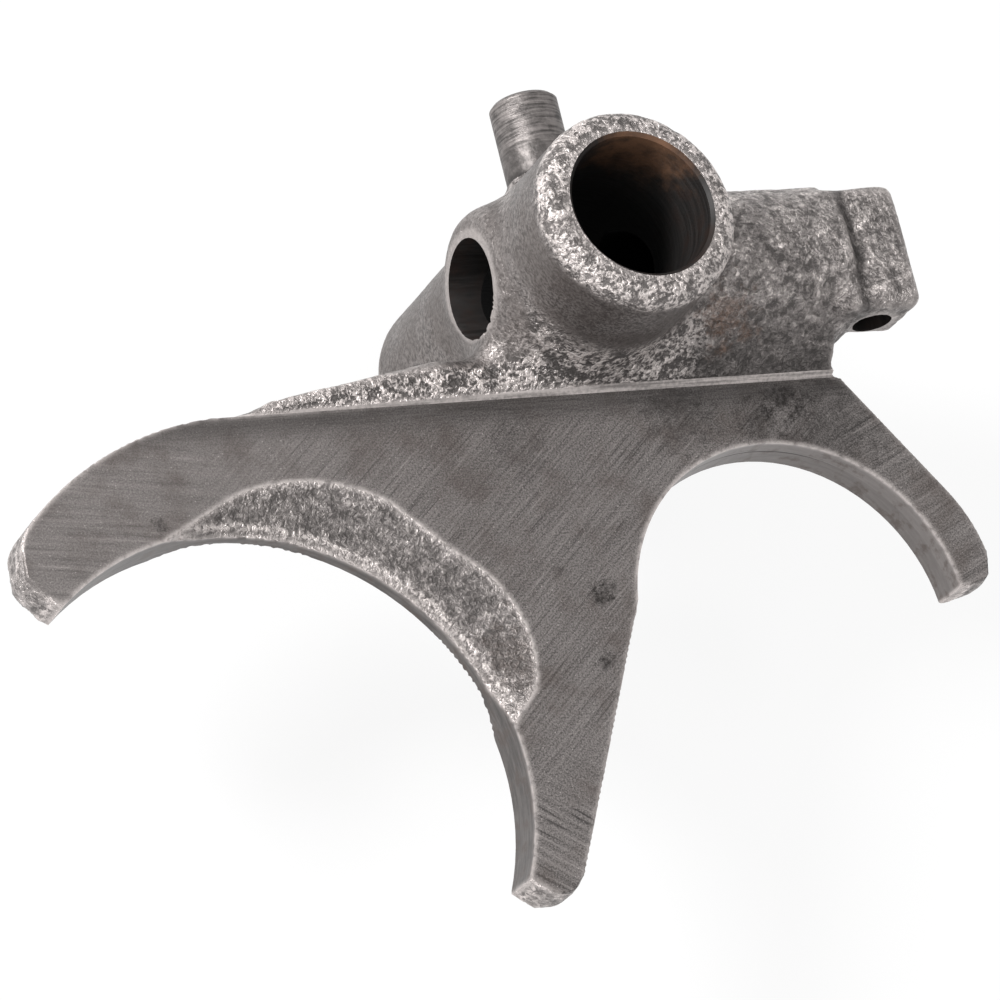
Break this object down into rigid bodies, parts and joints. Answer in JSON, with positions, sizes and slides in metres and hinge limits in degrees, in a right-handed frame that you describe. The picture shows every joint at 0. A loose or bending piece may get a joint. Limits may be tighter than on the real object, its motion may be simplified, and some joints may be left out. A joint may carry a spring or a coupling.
{
  "type": "shift fork",
  "caption": "Forged steel gearbox shift fork: a bored hub slides on a rail, a side peg is pushed, and two open claws move the gear sleeves.",
  "frame": {"origin": "on the rail bore's axis, where the axes of the barrel and the peg cross it; the fork plate's milled front face lies in z = 0", "axes": "+Z along the rail bore towards the front, +X along the barrel towards its block, +Y up the peg; the claws open towards -Y"},
  "size_m": [0.1122, 0.0902, 0.0494],
  "materials": {
    "steel": "as-forged and shot-blasted, milled on the fork plate"
  },
  "bodies": {
    "root": {"shift_fork": "steel"}
  },
  "joints": []
}
